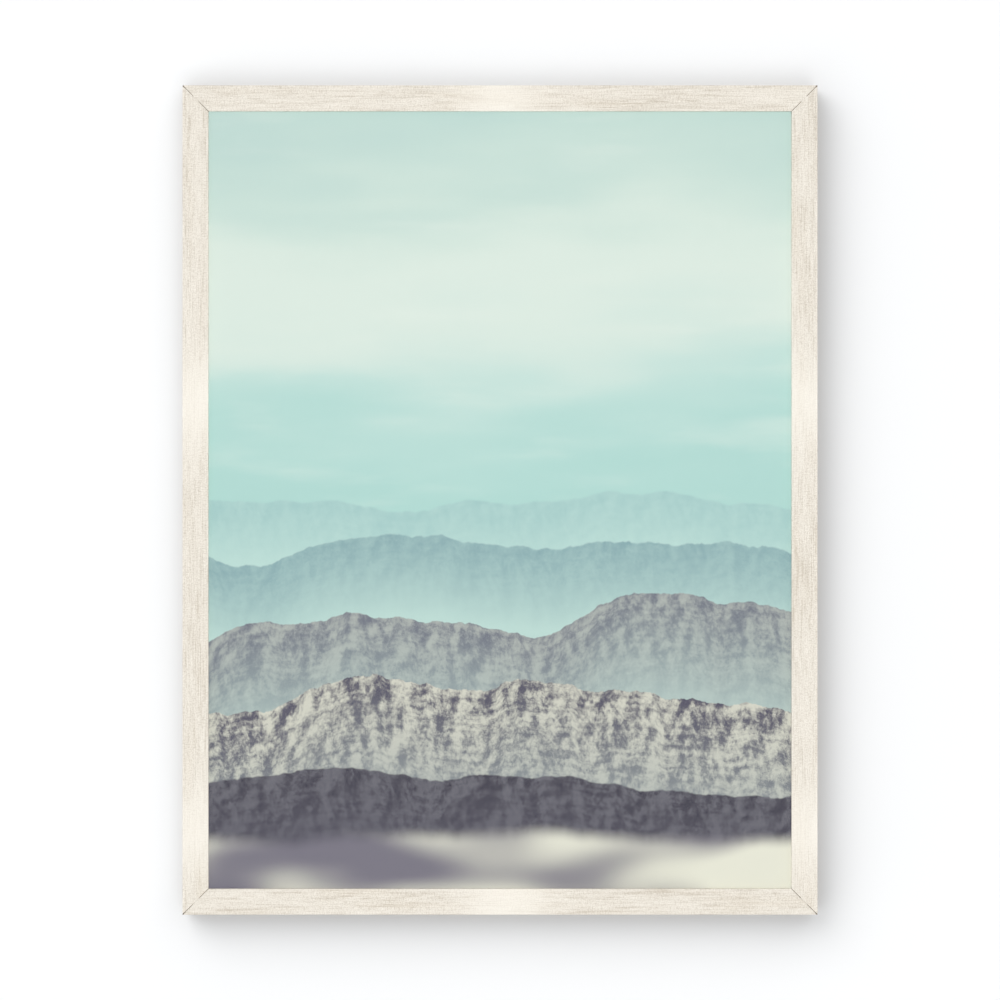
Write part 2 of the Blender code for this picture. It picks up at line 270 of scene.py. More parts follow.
def pitch_at(one, other):
    """How far apart points stand on this stretch of the section: finest on the front."""
    if max(one[1], other[1]) < front_y + ARRIS / 2:
        return GRAIN_PITCH
    return SIDE_PITCH if max(one[0], other[0]) < ARRIS else RAW_PITCH


def joint_shut(inward, end, seed):
    """1 where the mitre is shut: it has opened at the heel and at the toe."""
    wander = JOINT_WANDER * noise.noise(Vector((seed * 3.1, end * 5.7, 0.4)))
    first, last = (place + wander for place in JOINT_OPENS)
    past_heel = smooth_step(first, first + JOINT_RUN_OUT, inward)
    return past_heel * (1 - smooth_step(last, last + JOINT_RUN_OUT, inward))


def joint_gap(inward, y, shut):
    """How wide the mitre is open there: a groove in the front, widest at its worn tip."""
    if y > front_y + ARRIS + NEAR:
        return TIGHT_JOINT
    worn_tip = TIP_WEAR * (1 - smooth_step(0.0, TIP_LENGTH, inward))
    return OPEN_JOINT + worn_tip + (TIGHT_JOINT - OPEN_JOINT) * shut


def smooth_step(low, high, value):
    """0 below low to 1 above high, with a soft start and end."""
    share = min(max((value - low) / (high - low), 0.0), 1.0)
    return share * share * (3 - 2 * share)


def pore_at(along, around, seed):
    """0 where the wood is smooth to 1 in an open pore: long thin streaks along the rail."""
    broad = noise.noise(Vector((along * 26, around * 860, seed)))
    fine = noise.noise(Vector((along * 64, around * 1450, seed + 9)))
    drift = noise.noise(Vector((along * 9, around * 60, seed + 17)))
    return smooth_step(0.0, 0.6, 0.6 * broad + 0.5 * fine + 0.3 * drift)


def wash_at(along, first_zone):
    """0 where the wash is thin to 1 where it lies thick, every so far along the rail."""
    apart = (along - first_zone + WASH_SPACING / 2) % WASH_SPACING - WASH_SPACING / 2
    return exp(-((apart / WASH_HALF_LENGTH) ** 2))


def finish_mesh(bm, name, *materials, smooth=True):
    """Turns the bmesh into a finished piece at the origin."""
    mesh = bpy.data.meshes.new(name)
    bm.to_mesh(mesh)
    bm.free()
    for finish in materials:
        mesh.materials.append(finish)
    if smooth:
        mesh.shade_smooth()
        mesh.set_sharp_from_angle(angle=radians(SHARP_ANGLE))
    piece = bpy.data.objects.new(name, mesh)
    bpy.context.scene.collection.objects.link(piece)
    return piece


def math_node(tree, operation, *values, clamp=False):
    """A Math node's result; each value is a number or a socket."""
    node = add_node(tree, "Math", {"operation": operation, "use_clamp": clamp})
    for socket, value in zip(node.inputs, values):
        if isinstance(value, bpy.types.NodeSocket):
            tree.links.new(value, socket)
        else:
            socket.default_value = value
    return node.outputs[0]


def between(tree, value, low, high, to_low=0.0, to_high=1.0):
    """value taken smoothly from low..high to to_low..to_high, and held outside them."""
    node = add_node(tree, "MapRange", {"interpolation_type": "SMOOTHSTEP"}, Value=value)
    ends = {"From Min": low, "From Max": high, "To Min": to_low, "To Max": to_high}
    for name, number in ends.items():
        node.inputs[name].default_value = number
    return node.outputs[0]


def mix_colours(tree, share, one, other, blend="MIX"):
    """One colour blended into another by share, each given as a colour or a socket.

    A Mix node's share is its input 0, its colours are its inputs 6 and 7, its colour result is 2.
    """
    node = add_node(tree, "Mix", {"data_type": "RGBA", "blend_type": blend})
    for index, value in ((0, share), (6, one), (7, other)):
        if isinstance(value, bpy.types.NodeSocket):
            tree.links.new(value, node.inputs[index])
        else:
            node.inputs[index].default_value = value
    return node.outputs[2]


def stretched_noise(tree, vector, scale, **settings):
    """Noise whose grain is drawn out: scale is how often it turns over in a metre, each way."""
    placed = add_node(tree, "Mapping", Vector=vector, Scale=scale)
    return add_node(tree, "TexNoise", Vector=placed.outputs[0], Scale=1.0, **settings).outputs[0]


def new_finish(name, roughness):
    """A new material, its node tree and its shader."""
    finish = bpy.data.materials.new(name)
    finish.use_nodes = True
    shader = finish.node_tree.nodes["Principled BSDF"]
    shader.inputs["Roughness"].default_value = roughness
    return finish, finish.node_tree, shader


def bump(tree, shader, height, distance, strength=1.0):
    """Lets the light show a pattern of heights."""
    node = add_node(tree, "Bump", Height=height, Distance=distance, Strength=strength)
    tree.links.new(node.outputs[0], shader.inputs["Normal"])


def whitewashed_wood():
    """Thin white wash, worn along the grain into streaks, ticks and open pores."""
    finish, tree, shader = new_finish("whitewashed wood", 0.62)
    place = add_node(tree, "UVMap", {"uv_map": "moulding"}).outputs[0]
    pore = add_node(tree, "Attribute", {"attribute_name": "pore"}).outputs["Fac"]
    wash = add_node(tree, "Attribute", {"attribute_name": "wash"}).outputs["Fac"]
    drift = stretched_noise(tree, place, (11, 75, 1), Detail=2.0)
    streak = stretched_noise(tree, place, (48, 1400, 1), Detail=2.0, Roughness=0.55)
    hair = stretched_noise(tree, place, (170, 2600, 1), Detail=1.0)
    tick = stretched_noise(tree, place, (1300, 260, 1), Detail=1.0)
    mottle = stretched_noise(tree, place, (1000, 1250, 1), Detail=1.0)

    worn = math_node(tree, "MULTIPLY", pore, 0.34)
    for mark, low, high, wear in (
        (streak, 0.42, 0.68, 0.31), (hair, 0.42, 0.75, 0.22),
        (tick, 0.42, 0.72, 0.3), (mottle, 0.32, 0.7, 0.42),
    ):
        worn = math_node(tree, "ADD", worn, between(tree, mark, low, high, 0.0, wear))
    bare = between(tree, drift, 0.34, 0.66, 0.79, 1.09)
    filled = math_node(tree, "MULTIPLY", wash, 0.45)
    bare = math_node(tree, "MULTIPLY", bare, math_node(tree, "SUBTRACT", 1.0, filled))
    worn = math_node(tree, "MULTIPLY", worn, bare, clamp=True)

    shade = mix_colours(tree, worn, srgb(237, 232, 222), srgb(192, 183, 169))
    warm = between(tree, drift, 0.45, 0.75, 0.0, 0.22)
    shade = mix_colours(tree, warm, shade, srgb(224, 214, 197))
    thick = math_node(tree, "MULTIPLY", wash, 0.3)
    shade = mix_colours(tree, thick, shade, srgb(243, 239, 229))
    # Painted shade: a dark line on the wood beside each mitre, standing in for the shade in the open
    # joint.
    joint_shade = add_node(tree, "Attribute", {"attribute_name": "joint_shade"}).outputs["Fac"]
    shade = mix_colours(tree, between(tree, joint_shade, 0.5, 1.0, 1.0, 0.0), shade, srgb(146, 137, 124))
    tree.links.new(shade, shader.inputs["Base Color"])

    rough = between(tree, worn, 0.0, 1.0, 0.5, 0.78)
    tree.links.new(rough, shader.inputs["Roughness"])
    hairs, ticks = math_node(tree, "MULTIPLY", hair, 0.7), math_node(tree, "MULTIPLY", tick, 0.3)
    bump(tree, shader, math_node(tree, "ADD", hairs, ticks), 0.00012, 0.6)
    return finish


def raw_wood():
    """Pale bare wood with its rings, its pores and faint saw marks across them."""
    finish, tree, shader = new_finish("raw wood", 0.8)
    place = add_node(tree, "UVMap", {"uv_map": "moulding"}).outputs[0]
    ring = stretched_noise(tree, place, (5, 210, 1), Detail=3.0, Roughness=0.6, Distortion=0.4)
    pore = stretched_noise(tree, place, (160, 2400, 1), Detail=1.0)
    saw = stretched_noise(tree, place, (900, 14, 1), Detail=1.0)
    rings = between(tree, ring, 0.35, 0.68)
    shade = mix_colours(tree, rings, srgb(221, 197, 160), srgb(196, 164, 122))
    shade = mix_colours(tree, between(tree, pore, 0.56, 0.74, 0.0, 0.5), shade, srgb(160, 126, 88))
    shade = mix_colours(tree, between(tree, saw, 0.4, 0.7, 0.0, 0.08), shade, srgb(232, 212, 180))
    tree.links.new(shade, shader.inputs["Base Color"])
    height = math_node(tree, "ADD", pore, math_node(tree, "MULTIPLY", saw, 0.3))
    bump(tree, shader, height, 0.0002, 0.7)
    return finish


def add_section(bm, outline):
    """The section as one face at x = 0, with the way round it stored at each point."""
    around = bm.verts.layers.float.new("around")
    corners, run = [], 0.0
    for one, other in zip(outline, outline[1:] + outline[:1]):
        length = sqrt((other[0] - one[0]) ** 2 + (other[1] - one[1]) ** 2)
        steps = max(1, round(length / pitch_at(one, other)))
        for step in range(steps):
            inward, y = (a + (b - a) * step / steps for a, b in zip(one, other))
            corners.append(bm.verts.new((0.0, y, inward)))
            corners[-1][around] = run + length * step / steps
        run += length
    bm.faces.new(corners)
    return around, run


def carve_grain(bm, around, seed, first_zone):
    """Sinks the pores of the washed faces, and keeps them and the wash as attributes."""
    pore_layer = bm.verts.layers.float.new("pore")
    wash_layer = bm.verts.layers.float.new("wash")
    bm.normal_update()
    for vert in bm.verts:
        vert[wash_layer] = wash_at(vert.co.x, first_zone)
        vert[pore_layer] = pore_at(vert.co.x, vert[around], seed)
    sides = [v for v in bm.verts if all(len(face.verts) == 4 for face in v.link_faces)]
    for vert in sides:
        if vert.co.y < ledge_y - ARRIS or vert.co.z < ARRIS:
            open_share = 1 - WASH_FILLS * vert[wash_layer]
            vert.co -= vert.normal * PORE_DEPTH * vert[pore_layer] * open_share


def map_faces(bm, around, girth, name, place_of):
    """A UV map whose points come from place_of(face, vert, way round)."""
    uv_map = bm.loops.layers.uv.new(name)
    for face in bm.faces:
        places = [loop.vert[around] for loop in face.loops]
        wraps = max(places) - min(places) > girth / 2 and len(places) == 4
        for loop, place in zip(face.loops, places):
            loop[uv_map].uv = place_of(face, loop.vert, girth if wraps and place == 0.0 else place)


def rail_mesh(half_length, seed, first_zone):
    """A rail along X, its outer edge at z = 0 and its inner edge at z = face_width."""
    bm = bmesh.new()
    around, girth = add_section(bm, moulding_outline())
    swept = bmesh.ops.extrude_face_region(bm, geom=bm.faces[:])["geom"]
    far_end = [v for v in swept if isinstance(v, bmesh.types.BMVert)]
    bmesh.ops.translate(bm, vec=(2 * half_length, 0, 0), verts=far_end)
    bmesh.ops.translate(bm, vec=(-half_length, 0, 0), verts=bm.verts)
    lengthways = [e for e in bm.edges if abs(e.verts[0].co.x - e.verts[1].co.x) > half_length]
    rows = BAKE_ROWS * round(2 * half_length / ROW_LENGTH / BAKE_ROWS)
    bmesh.ops.subdivide_edges(bm, edges=lengthways, cuts=rows - 1, use_grid_fill=True)

    def folded(face, vert, place):
        """The rail cut into BAKE_ROWS lengths, one over the other, to fill its square map."""
        row = int((face.calc_center_median().x / half_length + 1) / 2 * BAKE_ROWS)
        row = min(row, BAKE_ROWS - 1)
        along = (vert.co.x / half_length + 1) / 2 * BAKE_ROWS - row
        across = SIDE_MARGIN + (1 - 2 * SIDE_MARGIN) * place / girth
        return END_MARGIN + (1 - 2 * END_MARGIN) * along, (row + across) / BAKE_ROWS

    map_faces(bm, around, girth, "OFBake", folded)
    # Each point's distance from the mitre, in widths of the painted shade line beside the joint.
    joint_shade_layer = bm.verts.layers.float.new("joint_shade")
    for vert in bm.verts:
        inward = vert.co.z
        shut = joint_shut(inward, 1 if vert.co.x > 0 else -1, seed)
        reach = half_length - inward - joint_gap(inward, vert.co.y, shut) / 2 * sqrt(2)
        vert.co.x *= reach / half_length
        width = JOINT_SHADE_WIDTH * (2 - smooth_step(0.0, TIP_LENGTH, inward)) * (1 - JOINT_SHADE_NARROWS * shut)
        vert[joint_shade_layer] = (reach - abs(vert.co.x)) / width
    bmesh.ops.recalc_face_normals(bm, faces=bm.faces)
    if bm.calc_volume(signed=True) < 0:
        bmesh.ops.reverse_faces(bm, faces=bm.faces)
    carve_grain(bm, around, seed, first_zone)
    map_faces(bm, around, girth, "moulding", lambda face, vert, place: (vert.co.x + seed, place))
    for face in bm.faces:
        middle = face.calc_center_median()
        behind = middle.y > ledge_y - NEAR and middle.z > BACK_ARRIS
        face.material_index = int(behind or len(face.verts) > 4)
    return bm


washed_wood, bare_wood = whitewashed_wood(), raw_wood()
# Each rail: half its length, how far out its edge is, its turn about Y in degrees, its piece of
# wood and its first thick wash.
RAIL_PLACES = {
    "rail_top": (half_width, half_height, 180, 1.3, 0.001),
    "rail_right": (half_height, half_width, 270, 4.1, 0.076),
    "rail_bottom": (half_width, half_height, 0, 7.7, 0.004),
    "rail_left": (half_height, half_width, 90, 11.2, -0.076),
}
rails = {}
for rail_name, (half_length, half_across, turn, seed, first_zone) in RAIL_PLACES.items():
    bm = rail_mesh(half_length, seed, first_zone)
    bmesh.ops.translate(bm, vec=(0, 0, -half_across), verts=bm.verts)
    place = Matrix.Translation((0, 0, centre.z)) @ Matrix.Rotation(radians(turn), 4, "Y")
    bmesh.ops.transform(bm, matrix=place, verts=bm.verts)
    rails[rail_name] = finish_mesh(bm, f"washed_{rail_name}", washed_wood, bare_wood)
    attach(rails[rail_name], "root")
    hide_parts(rail_name)


# ==== The glass =================================================================================
# A 2 mm pane of clear low-reflection picture glass, with ground edges. It lies in the rebate
# against the lip, in front of the print.

GLASS_TINT = (0.985, 0.995, 0.99, 1.0)


def picture_glass():
    """Clear glass that lets light through to the print straight, and hardly mirrors the room."""
    finish, tree, shader = new_finish("picture glass", 0.02)
    shader.inputs["Base Color"].default_value = GLASS_TINT
    shader.inputs["Transmission Weight"].default_value = 1.0
    shader.inputs["IOR"].default_value = 1.45
    shader.inputs["Specular IOR Level"].default_value = 0.05
    rays = add_node(tree, "LightPath").outputs
    let_through = math_node(tree, "MAXIMUM", rays["Is Shadow Ray"], rays["Is Diffuse Ray"])
    mix = add_node(tree, "MixShader", Fac=let_through)
    clear = add_node(tree, "BsdfTransparent", Color=GLASS_TINT)
    tree.links.new(shader.outputs[0], mix.inputs[1])
    tree.links.new(clear.outputs[0], mix.inputs[2])
    tree.links.new(mix.outputs[0], tree.nodes["Material Output"].inputs["Surface"])
    return finish


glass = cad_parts["glass"]
glass.data.materials[0] = picture_glass()


# ==== The print =================================================================================
# Matt photo paper on thin card, with a quiet view over misty hills: a pale sea-green and cream sky,
# ridges that darken from grey-green to slate as they come near, and a blurred pale shore in front.
# It is pressed between the glass and the board.

PRINT_EDGE = 0.00008
# The picture fills its map but for this margin and a strip at one side, which the edges share.
PICTURE_MARGIN, EDGE_STRIP, STRIP_MARGIN = 0.001, 0.012, 0.1
# The sky's colours by their height in widths of the opening, whose top is at SKY_TOP.
SKY_TOP = 1.3333
SKY = (
    (0.50, srgb(176, 211, 205)),
    (0.72, srgb(168, 210, 204)),
    (0.85, srgb(190, 219, 213)),
    (0.95, srgb(214, 227, 219)),
    (1.08, srgb(221, 231, 222)),
    (1.20, srgb(198, 219, 211)),
    (1.33, srgb(186, 211, 206)),
)
# Each ridge, far to near: its piece of noise, height, relief, softness, depth and crags, then its
# colours in the light, in the shade and in the mist at its foot. The shore has the first five.
RIDGES = (
    (2.3, 0.665, 0.10, 0.006, 0.13, 0.5,
     srgb(172, 206, 202), srgb(156, 194, 193), srgb(190, 219, 212)),
    (6.1, 0.575, 0.13, 0.004, 0.14, 0.6,
     srgb(152, 184, 184), srgb(128, 162, 168), srgb(184, 212, 206)),
    (9.7, 0.470, 0.15, 0.002, 0.20, 0.8,
     srgb(170, 174, 170), srgb(104, 108, 122), srgb(176, 194, 190)),
    (13.2, 0.330, 0.16, 0.0015, 0.24, 1.0,
     srgb(208, 205, 192), srgb(72, 68, 88), srgb(158, 166, 166)),
    (17.9, 0.170, 0.10, 0.004, 0.16, 1.0,
     srgb(98, 96, 106), srgb(44, 40, 58), srgb(78, 75, 90)),
)
SHORE = (21.4, 0.085, 0.06, 0.034, 0.10)
SHORE_SHADE, SHORE_LIGHT = srgb(112, 107, 121), srgb(228, 225, 210)


def new_group(name, inputs, outputs):
    """A shader node group with its two ends; sockets are given as {name: kind}."""
    group = bpy.data.node_groups.new(name, "ShaderNodeTree")
    for label, kind in inputs.items():
        group.interface.new_socket(label, in_out="INPUT", socket_type="NodeSocket" + kind)
    for label, kind in outputs.items():
        group.interface.new_socket(label, in_out="OUTPUT", socket_type="NodeSocket" + kind)
    start = group.nodes.new("NodeGroupInput")
    end = group.nodes.new("NodeGroupOutput")
    return group, start.outputs, end.inputs


def ridge_group():
    """One ridge of hills: its colour from crest to misty foot, and where it covers what is behind."""
    given = {"Place": "Vector", "Seed": "Float", "Height": "Float", "Relief": "Float",
             "Softness": "Float", "Depth": "Float", "Crags": "Float",
             "Light": "Color", "Shade": "Color", "Mist": "Color"}
    group, start, end = new_group("ridge", given, {"Colour": "Color", "Cover": "Float"})
    parts = add_node(group, "SeparateXYZ", Vector=start["Place"]).outputs
    along = add_node(group, "CombineXYZ", X=parts["X"], Y=start["Seed"]).outputs[0]
    swell = add_node(group, "TexNoise", Vector=along, Scale=2.6, Detail=1.0).outputs[0]
    rough = add_node(group, "TexNoise", Vector=along, Scale=11.0, Detail=7.0, Roughness=0.58)
    swell = math_node(group, "MULTIPLY", swell, 1.5)
    rough = math_node(group, "MULTIPLY", rough.outputs[0], 0.38)
    rise = math_node(group, "SUBTRACT", math_node(group, "ADD", swell, rough), 0.94)
    rise = math_node(group, "MULTIPLY", rise, start["Relief"])
    crest = math_node(group, "ADD", rise, start["Height"])
    below = math_node(group, "SUBTRACT", crest, parts["Z"])
    share = math_node(group, "DIVIDE", below, start["Softness"])
    cover = between(group, share, -0.5, 0.5)

    face = add_node(group, "CombineXYZ", X=parts["X"], Y=start["Seed"], Z=below).outputs[0]
    uphill = add_node(group, "VectorMath", {"operation": "ADD"})
    group.links.new(face, uphill.inputs[0])
    uphill.inputs[1].default_value = (0.011, 0.0, 0.007)
    here, there = [
        stretched_noise(group, point, (9, 1, 7), Detail=9.0, Roughness=0.76)
        for point in (face, uphill.outputs[0])
    ]
    strata = stretched_noise(group, face, (8, 1, 120), Detail=5.0, Roughness=0.7)
    facing = math_node(group, "SUBTRACT", here, there)
    facing = math_node(group, "ADD", facing, between(group, strata, 0.25, 0.75, -0.035, 0.035))
    facing = math_node(group, "MULTIPLY", facing, start["Crags"])
    lit = between(group, facing, -0.09, 0.09)
    sink = math_node(group, "DIVIDE", below, start["Depth"], clamp=True)
    colour = mix_colours(group, lit, start["Shade"], start["Light"])
    colour = mix_colours(group, math_node(group, "POWER", sink, 1.4), colour, start["Mist"])
    group.links.new(colour, end["Colour"])
    group.links.new(cover, end["Cover"])
    return group


def landscape_paper():
    """The view, laid out in widths of the opening from its lower edge's middle."""
    finish, tree, shader = new_finish("landscape paper", 0.85)
    shader.inputs["Specular IOR Level"].default_value = 0.2
    width = 2 * (half_width - face_width)
    lift = Vector((0.0, 0.0, -(centre.z - half_height + face_width) / width))
    local = add_node(tree, "TexCoord").outputs["Object"]
    place = add_node(tree, "Mapping", Vector=local, Scale=(1 / width,) * 3, Location=lift).outputs[0]

    drift = stretched_noise(tree, place, (1.3, 1, 5.0), Detail=2.5)
    cloud = stretched_noise(tree, place, (3.0, 1, 16.0), Detail=4.0)
    height = add_node(tree, "SeparateXYZ", Vector=place).outputs["Z"]
    height = math_node(tree, "ADD", height, between(tree, drift, 0.3, 0.7, -0.07, 0.07))
    height = math_node(tree, "ADD", height, between(tree, cloud, 0.3, 0.7, -0.02, 0.02))
    sky = add_node(tree, "ValToRGB", Fac=math_node(tree, "DIVIDE", height, SKY_TOP))
    bands = sky.color_ramp
    bands.interpolation = "B_SPLINE"
    while len(bands.elements) < len(SKY):
        bands.elements.new(0.5)
    for stop, (at, colour) in zip(bands.elements, SKY):
        stop.position = at / SKY_TOP
        stop.color = colour
    view = sky.outputs["Color"]
    wisp = between(tree, cloud, 0.52, 0.78, 0.0, 0.3)
    view = mix_colours(tree, wisp, view, srgb(228, 235, 227))

    ridge = ridge_group()
    for seed, at, relief, softness, depth, crags, light, shade, mist in RIDGES:
        layer = add_node(
            tree, "Group", {"node_tree": ridge}, Place=place, Seed=seed, Height=at, Relief=relief,
            Softness=softness, Depth=depth, Crags=crags, Light=light, Shade=shade, Mist=mist,
        )
        view = mix_colours(tree, layer.outputs["Cover"], view, layer.outputs["Colour"])
    seed, at, relief, softness, depth = SHORE
    shore = add_node(
        tree, "Group", {"node_tree": ridge}, Place=place, Seed=seed, Height=at, Relief=relief,
        Softness=softness, Depth=depth,
    )
    patches = stretched_noise(tree, place, (3.4, 1, 8.0), Detail=0.8)
    sand = mix_colours(tree, between(tree, patches, 0.36, 0.62), SHORE_SHADE, SHORE_LIGHT)
    view = mix_colours(tree, shore.outputs["Cover"], view, sand)
    grain = add_node(tree, "TexNoise", Vector=local, Scale=1600.0, Detail=1.0).outputs[0]
    grain = between(tree, grain, 0.25, 0.75, 0.0, 0.03)
    view = mix_colours(tree, grain, view, srgb(150, 154, 152), "MULTIPLY")
    tree.links.new(view, shader.inputs["Base Color"])
    return finish


def soften(bm, edges, width, segments=2):
    """Rounds these edges off."""
    bmesh.ops.bevel(bm, geom=edges, offset=width, affect="EDGES", segments=segments,
                    profile=0.5, material=-1)


def print_mesh(low, high):
    """The sheet, with its picture towards -Y."""
    bm = bmesh.new()
    bmesh.ops.create_cube(bm, size=1.0)
    size, middle = high - low, (high + low) / 2
    place = Matrix.Translation(middle) @ Matrix.Diagonal((*size, 1))
    bmesh.ops.transform(bm, matrix=place, verts=bm.verts)
    soften(bm, bm.edges[:], PRINT_EDGE, 1)
    bake_map = bm.loops.layers.uv.new("OFBake")
    for number, face in enumerate(bm.faces):
        for loop in face.loops:
            across = (loop.vert.co.x - low.x) / size.x
            up = (loop.vert.co.z - low.z) / size.z
            if face.normal.y < -0.9:
                wide, tall = 1 - 2 * PICTURE_MARGIN - EDGE_STRIP, 1 - 2 * PICTURE_MARGIN
                place = (PICTURE_MARGIN + wide * across, PICTURE_MARGIN + tall * up)
            else:
                filled = 1 - 2 * STRIP_MARGIN
                place = (1 - EDGE_STRIP + filled * EDGE_STRIP * across,
                         (number + STRIP_MARGIN + filled * up) / len(bm.faces))
            loop[bake_map].uv = place
    return bm


print_low, print_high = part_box("print_sheet")
sheet = finish_mesh(
    print_mesh(print_low, print_high), "landscape_print", landscape_paper(), smooth=False
)
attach(sheet, "root")
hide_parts("print_sheet")


# ==== The backing board =========================================================================
# Raw brown fibreboard, 3 mm thick, sawn to size. It closes the back and is held by the tabs, which
# press it against the print.

def fibre_group():
    """Pressed fibres and specks, one mask each, for the board and for dust on other pieces."""
    group, start, end = new_group("fibres", {"Place": "Vector", "Scale": "Float"},
                                  {"Fibre": "Float", "Speck": "Float"})
    sized = add_node(group, "VectorMath", {"operation": "SCALE"})
    group.links.new(start["Place"], sized.inputs[0])
    group.links.new(start["Scale"], sized.inputs["Scale"])
    place = sized.outputs[0]
    ways = []
    for degrees in (-52, 9, 61):
        turned = add_node(group, "Mapping", Vector=place, Rotation=(0.0, radians(degrees), 0.0))
        ways.append(stretched_noise(group, turned.outputs[0], (1.0, 1.0, 0.3), Detail=3.0,
                                    Roughness=0.7, Distortion=1.6))
    fibre = math_node(group, "ADD", math_node(group, "ADD", ways[0], ways[1]), ways[2])
    fibre = math_node(group, "DIVIDE", fibre, 3.0)
    cells = add_node(group, "TexVoronoi", Vector=place, Scale=0.8)
    speck = between(group, cells.outputs["Distance"], 0.05, 0.22, 1.0, 0.0)
    group.links.new(fibre, end["Fibre"])
    group.links.new(speck, end["Speck"])
    return group


def fibreboard(fibres):
    """Brown board: matted fibres, darker and paler clumps, and a few dark specks."""
    finish, tree, shader = new_finish("raw fibreboard", 0.82)
    place = add_node(tree, "TexCoord").outputs["Object"]
    fine = add_node(tree, "Group", {"node_tree": fibres}, Place=place, Scale=650.0).outputs
    clumps = add_node(tree, "TexNoise", Vector=place, Scale=22.0, Detail=3.0).outputs[0]
    matted = between(tree, fine["Fibre"], 0.38, 0.62)
    shade = mix_colours(tree, matted, srgb(138, 106, 76), srgb(172, 140, 104))
    shade = mix_colours(tree, between(tree, clumps, 0.35, 0.7, 0.0, 0.35), shade, srgb(146, 117, 86))
    shade = mix_colours(tree, math_node(tree, "MULTIPLY", fine["Speck"], 0.5), shade, srgb(92, 66, 44))
    tree.links.new(shade, shader.inputs["Base Color"])
    bump(tree, shader, fine["Fibre"], 0.00025, 0.6)
    return finish


fibres = fibre_group()
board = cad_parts["backing_board"]
board.data.materials[0] = fibreboard(fibres)


# ==== The tabs ==================================================================================
# Ten framer's tabs of blued spring steel, punched from strip. Each is driven into the rebate wall
# by its point and bent down onto the board.

TAB_STEEL, TAB_EDGE, TAB_BEND = 0.0006, 0.00012, 0.0022
TAB_ROUND_STEPS, TAB_LENGTH_STEPS = 10, 12
# Shares of half its width at its point and at its tip, and of its depth in the wood to its shoulder.
TAB_POINT, TAB_TIP, TAB_SHOULDER = 0.18, 0.08, 0.45
CLEARANCE = 0.0002
CUT_PAST = 0.002
RIM_ANGLE = 60


def worn_steel(name, colour, worn_colour, roughness, fibres, scratch_way, metallic=1.0):
    """Satin steel with a drawn grain, small scratches and a little dust."""
    finish, tree, shader = new_finish(name, roughness)
    shader.inputs["Metallic"].default_value = metallic
    place = add_node(tree, "TexCoord").outputs["Object"]
    dust = add_node(tree, "Group", {"node_tree": fibres}, Place=place, Scale=1500.0).outputs
    drawn = stretched_noise(tree, place, scratch_way, Detail=2.0)
    stain = add_node(tree, "TexNoise", Vector=place, Scale=260.0, Detail=3.0).outputs[0]
    shade = mix_colours(tree, between(tree, drawn, 0.35, 0.7), colour, worn_colour)
    shade = mix_colours(tree, between(tree, stain, 0.45, 0.7, 0.0, 0.4), shade, colour)
    tree.links.new(shade, shader.inputs["Base Color"])
    rough = between(tree, stain, 0.3, 0.7, roughness - 0.08, roughness + 0.12)
    dusty = math_node(tree, "MULTIPLY", dust["Speck"], 0.2)
    rough = math_node(tree, "ADD", rough, dusty, clamp=True)
    tree.links.new(rough, shader.inputs["Roughness"])
    bump(tree, shader, drawn, 0.00003, 0.5)
    return finish


def rim_of(bm):
    """The edges where the surface turns sharply."""
    return [edge for edge in bm.edges if edge.calc_face_angle(0.0) > radians(RIM_ANGLE)]


def thicken(bm, thickness, edge):
    """Gives a blank of sheet steel its thickness along Y and takes the sharpness off its rim."""
    swept = bmesh.ops.extrude_face_region(bm, geom=bm.faces[:])["geom"]
    moved = [item for item in swept if isinstance(item, bmesh.types.BMVert)]
    bmesh.ops.translate(bm, vec=(0, thickness, 0), verts=moved)
    bmesh.ops.recalc_face_normals(bm, faces=bm.faces)
    soften(bm, rim_of(bm), edge)


def tab_mesh(low, high, wall):
    """A tab that leaves the wood at z = 0 and runs down to -reach; wall is how deep it goes in."""
    half = (high.x - low.x) / 2
    reach = high.z - low.z - wall
    outline = [(wall, TAB_POINT * half), (TAB_SHOULDER * wall, half)]
    outline += [(-(reach - half) * i / TAB_LENGTH_STEPS, half) for i in range(TAB_LENGTH_STEPS + 1)]
    angles = [pi / 2 * i / TAB_ROUND_STEPS for i in range(1, TAB_ROUND_STEPS)]
    outline += [(half - reach - half * sin(a), half * cos(a)) for a in angles]
    outline.append((-reach, TAB_TIP * half))
    bm = bmesh.new()
    rows = [[bm.verts.new((side * wide, 0, z)) for side in (-1, 1)] for z, wide in outline]
    for upper, lower in zip(rows, rows[1:]):
        bm.faces.new((upper[0], upper[1], lower[1], lower[0]))
    for vert in bm.verts:
        out = min(max(-vert.co.z - TAB_BEND, 0.0), reach) / (reach - TAB_BEND)
        vert.co.y = high.y - TAB_STEEL - (high.y - low.y - TAB_STEEL) * out
    thicken(bm, TAB_STEEL, TAB_EDGE)
    return bm


def cut(piece, *cutters):
    """Takes the cutters' shapes out of a piece for good; the cuts show its last material."""
    mesh = bpy.data.meshes.new("cutter")
    joined = bmesh.new()
    for cutter in cutters:
        cutter.to_mesh(mesh)
        cutter.free()
        joined.from_mesh(mesh)
    bmesh.ops.recalc_face_normals(joined, faces=joined.faces)
    for face in joined.faces:
        face.material_index = len(piece.data.materials) - 1
    joined.to_mesh(mesh)
    joined.free()
    for finish in piece.data.materials:
        mesh.materials.append(finish)
    tool = bpy.data.objects.new("cutter", mesh)
    bpy.context.scene.collection.objects.link(tool)
    difference = piece.modifiers.new("cut", "BOOLEAN")
    difference.object = tool
    difference.operation = "DIFFERENCE"
    difference.solver = "EXACT"
    with bpy.context.temp_override(object=piece, active_object=piece):
        bpy.ops.object.modifier_apply(modifier="cut")
    bpy.data.objects.remove(tool)
    bpy.data.meshes.remove(mesh)


